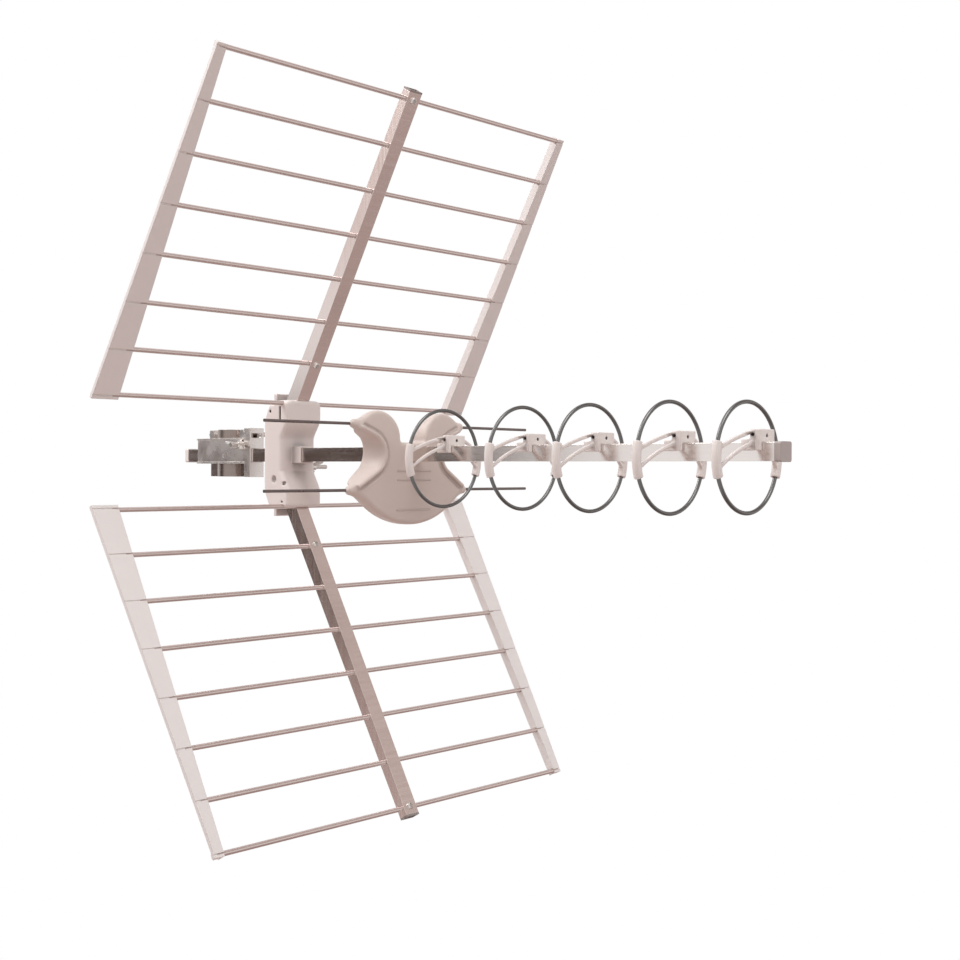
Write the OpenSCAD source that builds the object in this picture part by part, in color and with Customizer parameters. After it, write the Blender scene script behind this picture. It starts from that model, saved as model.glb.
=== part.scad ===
/* [Boom] */
// Side of the square boom tube
boom_w = 15; // [13:0.5:18]
// Wall of the boom tube
boom_wall = 1.5; // [1:0.25:2.5]
// Boom behind the mast axis
boom_tail = 45; // [44:1:120]
// Boom ahead of the foremost director
boom_nose = 29; // [24:1:80]
// Rim of the plastic end caps
cap_rim = 6; // [2:0.5:8]
// Overhang of the end caps beyond the tube
cap_proud = 0.6; // [0.4:0.1:1.5]

/* [Reflector] */
// Mast axis to the first reflector rods, along the boom
reflector_x = 160; // [140:1:240]
// Height of the first rod above the boom axis
panel_gap = 56.5; // [54:0.5:60]
// Angle between a reflector panel and the boom
panel_angle = 59.5; // [55:0.5:70]
// Rods in each panel
rod_count = 8; // [4:1:8]
// Distance between rods
rod_pitch = 50; // [40:1:60]
// Diameter of a reflector rod
rod_d = 5; // [4:0.25:6]
// Clear width between the side strips
reflector_w = 450; // [300:5:600]
// Depth of rod held in each side strip
rod_plug = 7; // [5:0.5:8]

/* [Centre rails] */
// Width of a rail
rail_w = 16.5; // [15:0.5:20]
// Sheet thickness of a rail
rail_wall = 1.5; // [1:0.25:2]
// Depth of a rail at the hub
rail_root_depth = 17; // [15:0.5:20]
// Depth of a rail at its tip
rail_tip_depth = 11; // [9:0.5:14]
// Rail beyond its last rod
rail_over = 8; // [7:0.5:30]

/* [Side strips] */
// Width of a strip at the hub end
strip_root_w = 29; // [20:1:50]
// Width of a strip at its tip
strip_tip_w = 10; // [9.5:0.5:20]
// Depth of the inner web that holds the rods
strip_depth = 9.5; // [9:0.5:14]
// Wall of a strip
strip_wall = 2; // [1.5:0.25:2.5]
// Strip beyond its first rod
strip_over = 4; // [3.5:0.5:10]
// Strip beyond its last rod
strip_tip_over = 3; // [3:0.5:10]

/* [Hub] */
// Width of the hub across the boom
hub_w = 48; // [44:1:60]
// Hub behind the first rods
hub_back = 36; // [34:1:44]
// Hub ahead of the first rods
hub_front = 10; // [9:0.5:16]
// Hub above the boom axis
hub_up = 60; // [59:0.5:64]
// Hub below the boom axis
hub_down = 57.5; // [57:0.5:62]
// Depth of the recess in the front of the hub
recess_d = 11.5; // [8:0.5:12]
// Height of the backing lugs above and below the boom axis
lug_h = 68; // [62:1:76]
// Collar of the hub ahead of the recess floor
collar_l = 15; // [10:1:24]

/* [Dipole] */
// First reflector rods to the dipole
dipole_x = 175; // [165:1:178]
// Tip to tip length of the dipole
dipole_l = 358; // [240:2:420]
// Diameter of a dipole rod
dipole_d = 3; // [2.5:0.25:4.5]
// Height of the upper dipole rods above the boom axis
dipole_up = 29; // [27:0.5:31]
// Depth of the lower dipole rods below the boom axis
dipole_down = 36; // [34:0.5:38]
// Bulge of the casing ahead of the dipole rods
casing_front = 11; // [10.5:0.5:16]
// Bulge of the casing behind the dipole rods
casing_back = 20; // [17:0.5:26]
// Depth of the casing below the boom axis
casing_drop = 71; // [68:1:80]
// Wall of the casing
casing_wall = 2.4; // [2:0.2:3]

/* [Directors] */
// First reflector rods to the first director
director_start = 228; // [218:1:260]
// Gaps between one director and the next
director_gaps = [105, 80, 86, 75]; // [60:1:120]
// Outer diameter of the director rings
ring_d = 98; // [88:1:110]
// Outer diameter of the foremost ring
front_ring_d = 93; // [86:1:110]
// Diameter of the ring wire
wire_d = 3.5; // [3:0.25:4.5]
// Ring centre below the boom axis
ring_drop = 4.5; // [2:0.5:6]
// Length of a holder's saddle along the boom
saddle_l = 18; // [14:1:24]
// Wall of a holder
holder_wall = 2.4; // [1.6:0.2:3]
// Outer diameter of a holder's sleeve
sleeve_d = 8; // [7:0.5:12]
// Half angle of ring covered by a sleeve
sleeve_half = 18.5; // [12:0.5:25]
// Angle of a sleeve's middle below the ring's centre
sleeve_dip = 2.5; // [0:0.5:6]

/* [Mast clamp] */
// Diameter of the mast that the clamp takes
mast_d = 35; // [28:1:40]
// Sheet thickness of the clamp jaws
jaw_wall = 2.5; // [2:0.25:3]
// Clamp jaws above the boom axis
jaw_up = 31; // [28:1:40]
// Clamp jaws below the boom axis
jaw_down = 25; // [24:1:40]
// Half gap between the ears of the two jaws
jaw_gap = 3; // [1:0.5:6]
// Length of a jaw ear beyond its half round
ear_l = 21; // [18:1:30]
// Sheet thickness of the boom bracket
bracket_wall = 2; // [1.5:0.25:3]
// Boom bracket behind the mast axis
bracket_back = 22; // [21:1:40]
// Boom bracket ahead of the mast axis
bracket_ahead = 82; // [76:1:100]
// Diameter of the clamp bolts
bolt_d = 6; // [5:0.5:6.5]
// Length of the clamp bolts
bolt_l = 50; // [40:1:90]

/* [Clearance] */
// Gap between pieces that slide over each other
slide = 0.2; // [0.1:0.05:0.3]
// Gap round bolts and rods in their holes
hole_gap = 0.15; // [0.1:0.05:0.3]

/* [Hidden] */
$fn = 64;
panels = ["upper", "lower"];
sides = ["left", "right"];
director_count = len(director_gaps) + 1;

// Places along and across the boom
mast_r = mast_d / 2;
boom_h = boom_w / 2;
boom_y = -(mast_r + jaw_wall + slide + boom_h);
function director_at(i) = i == 0 ? director_start : director_at(i - 1) + director_gaps[i - 1];
boom_front = reflector_x + director_at(director_count - 1) + boom_nose;
dipole_at = reflector_x + dipole_x;

// Reflector
rod_r = rod_d / 2;
rail_face = rod_r + hole_gap + rail_wall;
rail_foot = 6;
rail_l = rail_foot + (rod_count - 1) * rod_pitch + rail_over;
rail_cap_t = 2;
strip_l = (rod_count - 1) * rod_pitch + strip_over + strip_tip_over;
strip_in = reflector_w / 2;
strip_face = rod_r + 0.5;
rail_screw_d = 7;
rail_screw_h = 2.4;

// Hub
hub_neck = hub_back - 11;
hub_rear_up = hub_up - 5;
hub_slope = 22;
hub_nose_r = 8;
hub_foot_r = 4;
recess_floor = hub_front - recess_d;
recess_up = 16;
recess_down = 18;
recess_rise = 20;
recess_step = 4;
recess_edge = 8;
seam_x = recess_floor - recess_step;
lug_w = 28;
lug_t = 5;
hub_bolt_x = -10;
hub_bolt_z = -(boom_h + 5.5);
hub_bolt_y = 4;
hub_bolt_d = 5;
hub_bolt_out = 22;
hub_hex = 8;
hub_bolt_head = 4;

// Casing of the dipole
// Slope of the line that touches the flank's circle and passes under a horn
function flank_angle(y, z) = atan2(z, y) - asin((flank_r + horn_r) / norm([y, z]));
lobe_y = 45;
lobe_z = 16;
lobe_r = 25.3;
belly_mid = 19;
belly_r = casing_drop + belly_mid;
belly_joint_y = 53;
horn_r = 4.5;
horn_out = 6;
horn_up_y = lobe_y + sqrt(lobe_r * lobe_r - (dipole_up - lobe_z) * (dipole_up - lobe_z)) + horn_out;
horn_down_y = sqrt(belly_r * belly_r - (belly_mid + dipole_down) * (belly_mid + dipole_down)) + horn_out;
flank_y = 62;
flank_r = 18;
flank_turn = 15;
flank_up_angle = flank_angle(horn_up_y - flank_y, dipole_up);
flank_down_angle = flank_angle(horn_down_y - flank_y, dipole_down);
casing_plan_front = 900;
casing_plan_back = 260;
casing_side_front = 700;
casing_side_back = 150;
rib_w = 1;
rib_h = 0.5;
rib_l = 46;
rib_z = [-17, -26, -56];
casing_mid_z = -14;
tunnel_wall = 2;
casing_post_d = 9;
board_x = -(dipole_d / 2 + 0.3);
board_t = 1.6;
board_w = 56;
board_arm_w = 2 * (flank_y - flank_r - casing_wall - 3 * slide);
board_ear_w = 9;
board_up = dipole_up + 2;
board_down = 52;
board_shoulder = 8;
dipole_inner = 28;
casing_screw_d = 3;
casing_head_d = 5.5;
casing_head_x = -9;
casing_head_h = 2.2;
casing_screw_l = 16;
casing_screw_spots = [[0, -boom_h - 6.5], [34, -46], [-34, -46], [30, 14], [-30, 14]];
horn_depth = 5;
socket_z = -42;
socket_d = 9.5;
socket_l = 11;
socket_hex = 11;
socket_seat_x = -19;
socket_seat_d = 16;

// Director holders
holder_top = 18;
holder_post_t = 5;

// Mast clamp
ear_x = mast_r + jaw_wall + ear_l / 2;
ear_edge = mast_r + jaw_wall + ear_l;
bracket_top = 20;
bracket_low = boom_h + slide;
upper_bolt_z = 25.5;
lower_bolt_z = -3;
bolt_hex = 10;
bolt_head_h = 4;
nut_h = 5;
bracket_near = boom_y - boom_h - slide;
bracket_far = boom_y + boom_h + slide;
bracket_leg_l = 11;
boom_bolt_x = 67;
boom_bolt_z = boom_h + bolt_d / 2 + 1;
boom_bolt_out = 16;
bracket_hole_x = 31;
bracket_hole_d = 4.5;
wing_span = 34;
wing_h = 14;

module on_boom(x) {
    translate([x, boom_y, 0]) children();
}

// Panel frame: X is the front normal, Y across, Z from the first rod to the last
module on_panel(panel) {
    on_boom(reflector_x)
        mirror([0, 0, panel == "lower" ? 1 : 0])
            translate([0, 0, panel_gap])
                rotate([0, 90 - panel_angle, 0])
                    children();
}

module across(d, l) {
    rotate([90, 0, 0]) cylinder(d = d, h = l, center = true);
}

module rounded_rect(w, h, r) {
    for (x = [-1, 1], y = [-1, 1]) translate([x * (w / 2 - r), y * (h / 2 - r)]) circle(r);
    square([w - 2 * r, h], center = true);
    square([w, h - 2 * r], center = true);
}

// Hexagon bolt along Y, head at the near end
module hex_bolt(d, l, hex, head) {
    rotate([-90, 0, 0]) cylinder(d = d, h = l);
    rotate([90, 0, 0]) cylinder(d = hex / cos(30), h = head, $fn = 6);
}

// Wing nut along Y: hub and two rounded wings leaning outwards
module wing_nut(bore, span, tall) {
    base_d = bore * 2;
    wing_t = 2.4;
    rotate([-90, 0, 0]) difference() {
        union() {
            cylinder(d1 = base_d, d2 = base_d * 0.8, h = tall * 0.55);
            for (a = [0, 180]) rotate([0, 0, a]) rotate([90, 0, 0])
                linear_extrude(wing_t, center = true) difference() {
                    union() {
                        translate([span / 2 - tall * 0.32, tall * 0.68]) circle(tall * 0.32);
                        polygon([
                            [0, 0], [base_d / 2, 0], [span / 2, tall * 0.6],
                            [span / 2 - tall * 0.36, tall * 0.98], [bore / 2, tall * 0.5], [0, tall * 0.5]
                        ]);
                    }
                    translate([0, -1]) square([bore / 2, tall]);
                }
        }
        translate([0, 0, -1]) cylinder(d = bore + 2 * hole_gap, h = tall + 2);
    }
}

module boom() {
    inner = boom_w - 2 * boom_wall;
    length = boom_tail + boom_front;
    color("silver") on_boom(-boom_tail) difference() {
        translate([0, -boom_h, -boom_h]) cube([length, boom_w, boom_w]);
        translate([-1, -inner / 2, -inner / 2]) cube([length + 2, inner, inner]);
    }
}

module boom_cap(x, dir) {
    plug = boom_w - 2 * boom_wall - 2 * slide;
    outer = boom_w + 2 * cap_proud;
    plug_l = 10;
    plug_wall = 1.5;
    on_boom(x) rotate([0, 90 * dir, 0]) {
        linear_extrude(cap_rim) rounded_rect(outer, outer, 2);
        translate([0, 0, -plug_l]) linear_extrude(plug_l) difference() {
            square(plug, center = true);
            square(plug - 2 * plug_wall, center = true);
        }
    }
}

module boom_front_cap() {
    color("mistyrose") boom_cap(boom_front, 1);
}

module boom_rear_cap() {
    color("mistyrose") boom_cap(-boom_tail, -1);
}

// Outline of a rail in the panel frame, seen from the side
module rail_side(foot, grow) {
    depth_slope = (rail_root_depth - rail_tip_depth) / rail_l;
    top = rail_l - rail_foot;
    extra = depth_slope * (foot - rail_foot);
    polygon([
        [rail_face + grow, -foot], [rail_face + grow, top],
        [rail_face - rail_tip_depth - grow, top], [rail_face - rail_root_depth - extra - grow, -foot]
    ]);
}

module rail_blank(w, foot, grow) {
    translate([0, w / 2, 0]) rotate([90, 0, 0]) linear_extrude(w) rail_side(foot, grow);
}

module rail(panel) {
    inner_x = rail_face - rail_wall;
    color("rosybrown") on_panel(panel) difference() {
        rail_blank(rail_w, rail_foot, 0);
        translate([inner_x - 2 * rail_root_depth, -rail_w / 2 + rail_wall, -rail_foot - 1])
            cube([2 * rail_root_depth, rail_w - 2 * rail_wall, rail_l + 2]);
        for (i = [0:rod_count - 1]) translate([0, 0, i * rod_pitch])
            across(rod_d + 2 * hole_gap, rail_w + 2);
    }
}

// Thin end plate with a sunk middle and a plug inside the rail
module rail_cap(panel) {
    inner = rail_w - 2 * rail_wall - 2 * slide;
    plug_l = 3;
    rim = 1.6;
    sunk = 1.2;
    top = rail_l - rail_foot;
    back = rail_face - rail_tip_depth;
    color("dimgray") on_panel(panel) difference() {
        union() {
            translate([back, -rail_w / 2, top]) cube([rail_tip_depth, rail_w, rail_cap_t]);
            translate([back + rim, -inner / 2, top - plug_l])
                cube([rail_tip_depth - rail_wall - slide - rim, inner, plug_l]);
        }
        translate([back + rim, -rail_w / 2 + rim, top + rail_cap_t - sunk])
            cube([rail_tip_depth - 2 * rim, rail_w - 2 * rim, sunk + 1]);
    }
}

// Screw head with a bevelled edge and a cross slot
module rail_screw() {
    bevel = 0.9;
    slot_w = 1;
    slot_l = rail_screw_d * 0.6;
    slot_d = 1;
    r = rail_screw_d / 2;
    rotate([0, 90, 0]) difference() {
        rotate_extrude() polygon([
            [0, 0], [r, 0], [r, rail_screw_h - bevel], [r - bevel, rail_screw_h], [0, rail_screw_h]
        ]);
        translate([0, 0, rail_screw_h]) cube([slot_l, slot_w, 2 * slot_d], center = true);
        translate([0, 0, rail_screw_h]) cube([slot_w, slot_l, 2 * slot_d], center = true);
    }
}

module rail_screws() {
    color("silver") for (p = panels, i = [1, rod_count - 1])
        on_panel(p) translate([rail_face, 0, i * rod_pitch]) rail_screw();
}

module reflector_rod(panel, i) {
    color("darkgray") on_panel(panel) translate([0, 0, i * rod_pitch])
        across(rod_d, reflector_w + 2 * rod_plug);
}

// Outline of a strip in the panel frame: inner edge straight, outer edge tapered
module strip_outline(inset) {
    polygon([
        [strip_in + inset, -strip_over + inset], [strip_in + strip_root_w - inset, -strip_over + inset],
        [strip_in + strip_tip_w - inset, strip_l - strip_over - inset],
        [strip_in + inset, strip_l - strip_over - inset]
    ]);
}

module strip_slab(x0, x1, inset) {
    translate([x0, 0, 0]) rotate([90, 0, 90]) linear_extrude(x1 - x0) strip_outline(inset);
}

module strip_body() {
    groove_w = 1.4;
    groove_d = 0.6;
    rim = 4;
    socket_wall = 1.7;
    difference() {
        union() {
            difference() {
                strip_slab(strip_face - rim, strip_face, 0);
                strip_slab(strip_face - rim - 1, strip_face - strip_wall, strip_wall);
            }
            translate([strip_face - strip_depth, strip_in, -strip_over])
                cube([strip_depth, strip_wall, strip_l]);
            for (i = [0:rod_count - 1]) translate([0, strip_in, i * rod_pitch]) rotate([-90, 0, 0])
                cylinder(d = rod_d + 2 * hole_gap + 2 * socket_wall, h = rod_plug + strip_wall);
        }
        translate([strip_face, 0, -2 * strip_over]) cube([rod_d, 2 * strip_in, strip_l + 4 * strip_over]);
        for (z = [-strip_over - rod_d, strip_l - strip_over])
            translate([-rod_d, 0, z]) cube([2 * rod_d, 2 * strip_in, rod_d]);
        for (i = [0:rod_count - 1]) {
            translate([0, strip_in - 1, i * rod_pitch]) rotate([-90, 0, 0])
                cylinder(d = rod_d + 2 * hole_gap, h = rod_plug + 1);
            translate([strip_face - groove_d, strip_in - 1, i * rod_pitch - groove_w / 2])
                cube([groove_d + 1, strip_root_w + 2, groove_w]);
        }
    }
}

module side_strip(panel, side) {
    color("mistyrose") on_panel(panel) mirror([0, side == "right" ? 1 : 0, 0]) strip_body();
}

// Side profile of the hub: X ahead of the first rods, Y is height
module hub_profile() {
    nose = hub_front - hub_nose_r;
    foot = hub_front - hub_foot_r;
    neck_up = hub_neck - hub_nose_r - 2;
    difference() {
        union() {
            polygon([
                [foot, -hub_down], [nose, hub_up - hub_nose_r], [nose, hub_up], [-neck_up, hub_up],
                [-neck_up, hub_rear_up], [-hub_neck + 2, hub_rear_up], [-hub_neck, hub_rear_up - 2],
                [-hub_back, hub_rear_up - hub_slope], [-hub_back, hub_slope - hub_down],
                [-hub_neck, 3 - hub_down], [3 - hub_neck, -hub_down]
            ]);
            translate([nose, hub_up - hub_nose_r]) circle(hub_nose_r);
            translate([foot, hub_foot_r - hub_down]) circle(hub_foot_r);
            translate([0, hub_foot_r - hub_down])
                square([hub_front, hub_up + hub_down - hub_nose_r - hub_foot_r]);
            translate([-hub_neck - lug_t / 2, -lug_h]) square([lug_t, 2 * lug_h]);
        }
        polygon([
            [recess_floor, -recess_down], [recess_floor, recess_up],
            [hub_front + 1, recess_up + recess_rise], [hub_front + 1, -recess_down - recess_rise],
            [recess_floor + recess_step, -recess_down]
        ]);
    }
}

module hub_plan() {
    back_r = 9;
    front_r = hub_nose_r;
    side = hub_w / 2;
    for (s = [-1, 1]) {
        translate([back_r - hub_back, s * (side - back_r)]) circle(back_r);
        translate([hub_front - front_r, s * (side - front_r)]) circle(front_r);
    }
    translate([-hub_back, back_r - side]) square([hub_back, hub_w - 2 * back_r]);
    translate([back_r - hub_back, -side]) square([hub_back - back_r + hub_front - front_r, hub_w]);
    translate([-front_r, front_r - side]) square([hub_front + front_r, hub_w - 2 * front_r]);
}

module hub_blank() {
    side = hub_w / 2;
    difference() {
        intersection() {
            translate([0, side, 0]) rotate([90, 0, 0]) linear_extrude(hub_w) hub_profile();
            translate([0, 0, -2 * lug_h]) linear_extrude(4 * lug_h) hub_plan();
        }
        for (s = [-1, 1]) {
            for (z = [hub_up, -hub_down - 2 * lug_h])
                translate([-2 * hub_back, s > 0 ? lug_w / 2 : -hub_w - lug_w / 2, z])
                    cube([4 * hub_back, hub_w, 2 * lug_h]);
            translate([recess_floor, s * side, (recess_up - recess_down) / 2]) rotate([0, 0, 45])
                cube([recess_edge, recess_edge, recess_up + recess_down], center = true);
        }
    }
}

module rail_pockets() {
    for (p = panels) mirror([0, 0, p == "lower" ? 1 : 0]) translate([0, 0, panel_gap])
        rotate([0, 90 - panel_angle, 0]) {
            rail_blank(rail_w + 2 * slide, rail_foot + slide, slide);
            across(rod_d + 2 * hole_gap, hub_w + 2);
        }
}

module boom_passage() {
    passage = boom_w + 2 * slide;
    translate([-2 * hub_back, -passage / 2, -passage / 2]) cube([4 * hub_back, passage, passage]);
}

module hub_bolt_hole() {
    translate([hub_bolt_x, hub_bolt_y, hub_bolt_z]) {
        rotate([-90, 0, 0]) cylinder(d = hub_bolt_d + 2 * hole_gap, h = hub_w);
        rotate([90, 0, 0])
            cylinder(d = (hub_hex + 2 * slide) / cos(30), h = hub_bolt_head + slide, $fn = 6);
    }
}

module hub_half(x0, x1) {
    intersection() {
        hub_blank();
        translate([x0, -hub_w, -2 * lug_h]) cube([x1 - x0, 2 * hub_w, 4 * lug_h]);
    }
}

module hub_rear() {
    dimple_d = 8;
    dimple_at = [hub_front - hub_back + 11.5, hub_slope - hub_down + 8.5];
    peg_d = 2.6;
    peg_at = [-hub_neck + 3.5, hub_rear_up - 7];
    mark_d = 3;
    color("seashell") on_boom(reflector_x) difference() {
        hub_half(-hub_back - 1, seam_x);
        rail_pockets();
        boom_passage();
        hub_bolt_hole();
        translate([dimple_at[0], -hub_w / 2 - 2, dimple_at[1]]) sphere(d = dimple_d);
        translate([peg_at[0], -hub_w / 2, peg_at[1]]) across(peg_d, mark_d);
    }
}

module hub_front_cover() {
    collar_w = boom_w + 2 * slide + 3;
    slot_w = 2.4;
    slot_h = 16;
    mark_d = 3;
    boss_d = 4;
    boss_at = [recess_floor + recess_step, hub_foot_r - hub_down + 22];
    hole_d = 2.4;
    hole_at = [recess_floor + 1, hub_foot_r - hub_down + 2];
    color("seashell") on_boom(reflector_x) difference() {
        union() {
            hub_half(seam_x, hub_front + 1);
            translate([recess_floor - 1, -collar_w / 2, -collar_w / 2])
                cube([collar_l + 1, collar_w, collar_w]);
            translate([boss_at[0], -hub_w / 2 + 1, boss_at[1]]) across(boss_d, mark_d);
        }
        rail_pockets();
        boom_passage();
        hub_bolt_hole();
        translate([seam_x, -hub_w / 2 - 1, hub_up - hub_nose_r - slot_h])
            cube([slot_w, mark_d + 1, slot_h]);
        translate([hole_at[0], -hub_w / 2, hole_at[1]]) across(hole_d, mark_d);
    }
}

module hub_bolt() {
    color("gray") on_boom(reflector_x) translate([hub_bolt_x, hub_bolt_y, hub_bolt_z])
        hex_bolt(hub_bolt_d, hub_w / 2 - hub_bolt_y + hub_bolt_out, hub_hex, hub_bolt_head);
}

module hub_wing_nut() {
    span = 26;
    tall = 11;
    color("gray") on_boom(reflector_x) translate([hub_bolt_x, hub_w / 2, hub_bolt_z])
        rotate([0, -35, 0]) wing_nut(hub_bolt_d, span, tall);
}

// Outline of the dipole casing in the Y-Z plane: two lobes over a round belly
module casing_outline(inset) {
    belly_top = boom_h + slide + tunnel_wall + 2;
    for (s = [-1, 1]) translate([s * lobe_y, lobe_z]) circle(lobe_r - inset);
    intersection() {
        translate([0, belly_mid]) circle(belly_r - inset);
        translate([-belly_r, -casing_drop]) square([2 * belly_r, casing_drop + belly_top - inset]);
    }
}

// Thin points of the casing that carry the rods outwards
module casing_horns() {
    shoulder = 11;
    for (s = [-1, 1]) mirror([0, s < 0 ? 1 : 0, 0]) {
        rotate([90, 0, 90]) linear_extrude(horn_depth) {
            translate([horn_up_y, dipole_up]) circle(horn_r);
            translate([horn_down_y, -dipole_down]) circle(horn_r);
            polygon([
                [lobe_y + shoulder, lobe_z + sqrt(lobe_r * lobe_r - shoulder * shoulder)],
                [horn_up_y, dipole_up + horn_r], [horn_up_y, dipole_up - horn_r],
                [lobe_y + shoulder, lobe_z]
            ]);
            polygon([
                [belly_joint_y, belly_mid - sqrt(belly_r * belly_r - belly_joint_y * belly_joint_y)],
                [horn_down_y, -dipole_down - horn_r],
                [horn_down_y, -dipole_down + horn_r], [flank_y - flank_r, -flank_r]
            ]);
        }
    }
}

// Rounded notch cut into each side, turned so that it is wider at the front
module casing_flanks(inset, turn) {
    r = flank_r + inset;
    reach = 60;
    up = [-r * sin(flank_up_angle), r * cos(flank_up_angle)];
    down = [-r * sin(flank_down_angle), -r * cos(flank_down_angle)];
    for (s = [0, 1]) mirror([0, s, 0]) translate([0, flank_y, 0]) rotate([0, 0, -turn])
        rotate([90, 0, 90])
        linear_extrude(2 * reach, center = true) {
            circle(r);
            polygon([
                up, up + reach * [cos(flank_up_angle), sin(flank_up_angle)],
                down + reach * [cos(flank_down_angle), -sin(flank_down_angle)], down
            ]);
        }
}

// Domed half of the casing
module casing_dome(bulge, plan_r, side_r, inset, horns, turn) {
    reach = 110;
    intersection() {
        difference() {
            union() {
                rotate([90, 0, 90]) linear_extrude(bulge + 1) casing_outline(inset);
                if (horns) casing_horns();
            }
            casing_flanks(inset, turn);
        }
        translate([bulge - inset - plan_r, 0, casing_mid_z]) rotate_extrude($fn = 180)
            intersection() {
                translate([plan_r - side_r, 0]) circle(side_r, $fn = 180);
                translate([plan_r - reach / 2, -reach]) square([reach, 2 * reach]);
            }
    }
}

module casing_shell(bulge, plan_r, side_r, turn) {
    tunnel = boom_w + 2 * slide + 2 * tunnel_wall;
    skin = 0.1;
    rod_from = dipole_inner - 1;
    difference() {
        union() {
            difference() {
                casing_dome(bulge, plan_r, side_r, 0, true, turn);
                casing_dome(bulge, plan_r, side_r, casing_wall, false, turn);
            }
            intersection() {
                casing_dome(bulge, plan_r, side_r, skin, true, turn);
                union() {
                    translate([0, -tunnel / 2, -tunnel / 2]) cube([bulge + 1, tunnel, tunnel]);
                    at_casing_screws(0) cylinder(d = casing_post_d, h = bulge);
                }
            }
        }
        boom_passage();
        for (s = [-1, 1], z = [dipole_up, -dipole_down]) translate([0, s * (rod_from + dipole_l / 2) / 2, z])
            across(dipole_d + 2 * hole_gap, dipole_l / 2 - rod_from);
    }
}

module dipole_front_shell() {
    pilot_l = casing_head_x + casing_screw_l + 1;
    color("rosybrown") on_boom(dipole_at) difference() {
        union() {
            casing_shell(casing_front, casing_plan_front, casing_side_front, flank_turn);
            intersection() {
                casing_dome(casing_front + rib_h, casing_plan_front, casing_side_front, 0, false,
                    flank_turn);
                for (z = rib_z) translate([casing_front - casing_wall, -rib_l / 2, z])
                    cube([casing_front, rib_l, rib_w]);
            }
        }
        at_casing_screws(-1) cylinder(d = casing_screw_d + 2 * hole_gap, h = pilot_l + 1);
    }
}

module at_casing_screws(x) {
    for (p = casing_screw_spots) translate([x, p[0], p[1]]) rotate([0, 90, 0]) children();
}

module dipole_rear_shell() {
    head_gap = 0.5;
    color("rosybrown") on_boom(dipole_at) difference() {
        union() {
            mirror([1, 0, 0]) casing_shell(casing_back, casing_plan_back, casing_side_back, -flank_turn);
            translate([socket_seat_x, 0, socket_z]) rotate([0, 90, 0]) cylinder(d = socket_seat_d, h = 8);
        }
        translate([-2 * casing_back, 0, socket_z]) rotate([0, 90, 0])
            cylinder(d = socket_d + 2 * hole_gap, h = 2 * casing_back);
        at_casing_screws(-casing_back) cylinder(d = casing_screw_d + 2 * hole_gap, h = 2 * casing_back);
        at_casing_screws(casing_head_x - 2 * casing_back)
            cylinder(d = casing_head_d + head_gap, h = 2 * casing_back);
    }
}

// Flat board round the boom with an ear up to each upper rod
module balun_board() {
    notch = boom_w + 2 * slide + 2 * tunnel_wall + 1;
    color("seagreen") on_boom(dipole_at) translate([board_x - board_t, 0, 0]) difference() {
        union() {
            translate([0, -board_w / 2, -board_down])
                cube([board_t, board_w, board_down + board_shoulder]);
            translate([0, -board_arm_w / 2, -board_shoulder])
                cube([board_t, board_arm_w, 2 * board_shoulder]);
            for (s = [-1, 1]) translate([0, s * (board_arm_w - board_ear_w) / 2 - board_ear_w / 2, 0])
                cube([board_t, board_ear_w, board_up]);
        }
        translate([-1, -notch / 2, -notch / 2]) cube([board_t + 2, notch, notch]);
        at_casing_screws(-1) cylinder(d = casing_post_d + 2 * slide, h = board_t + 2);
    }
}

// Threaded aerial socket behind the casing, with its nut against the seat
module coax_socket() {
    nut_t = 2.5;
    mouth_d = 6;
    mouth_l = 9;
    barrel_l = socket_l + board_x - board_t - socket_seat_x;
    color("goldenrod") on_boom(dipole_at) translate([socket_seat_x - socket_l, 0, socket_z])
        rotate([0, 90, 0])
        difference() {
            union() {
                cylinder(d = socket_d, h = barrel_l);
                translate([0, 0, socket_l - nut_t])
                    cylinder(d = socket_hex / cos(30), h = nut_t, $fn = 6);
            }
            translate([0, 0, -1]) cylinder(d = mouth_d, h = mouth_l);
        }
}

module casing_screws() {
    color("silver") on_boom(dipole_at) at_casing_screws(casing_head_x - casing_head_h) {
        cylinder(d = casing_head_d, h = casing_head_h);
        cylinder(d = casing_screw_d, h = casing_head_h + casing_screw_l);
    }
}

module dipole_rod(panel, side) {
    z = panel == "upper" ? dipole_up : -dipole_down;
    s = side == "left" ? 1 : -1;
    color("dimgray") on_boom(dipole_at) translate([0, s * (dipole_l / 2 + dipole_inner) / 2, z])
        across(dipole_d, dipole_l / 2 - dipole_inner);
}

function ring_outer(i) = i == director_count - 1 ? front_ring_d : ring_d;
function ring_mid(i) = ring_outer(i) / 2 - wire_d / 2;

module ring_frame(i) {
    on_boom(reflector_x + director_at(i)) translate([0, 0, -ring_drop]) rotate([0, 90, 0]) children();
}

module director_ring(i) {
    color("darkgray") ring_frame(i) rotate_extrude() translate([ring_mid(i), 0]) circle(d = wire_d);
}

function bezier(a, b, c, t) = (1 - t) * (1 - t) * a + 2 * t * (1 - t) * b + t * t * c;

// Curved arm from the sleeve (start) to the saddle (end), in the arm's own plane
module arm_profile(from, over, to, width) {
    steps = 8;
    half = width / 2;
    polygon(concat(
        [for (k = [0:steps]) bezier(from, over, to, k / steps) + [0, half]],
        [for (k = [steps:-1:0]) bezier(from, over, to, k / steps) - [0, half]]
    ));
}

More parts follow.
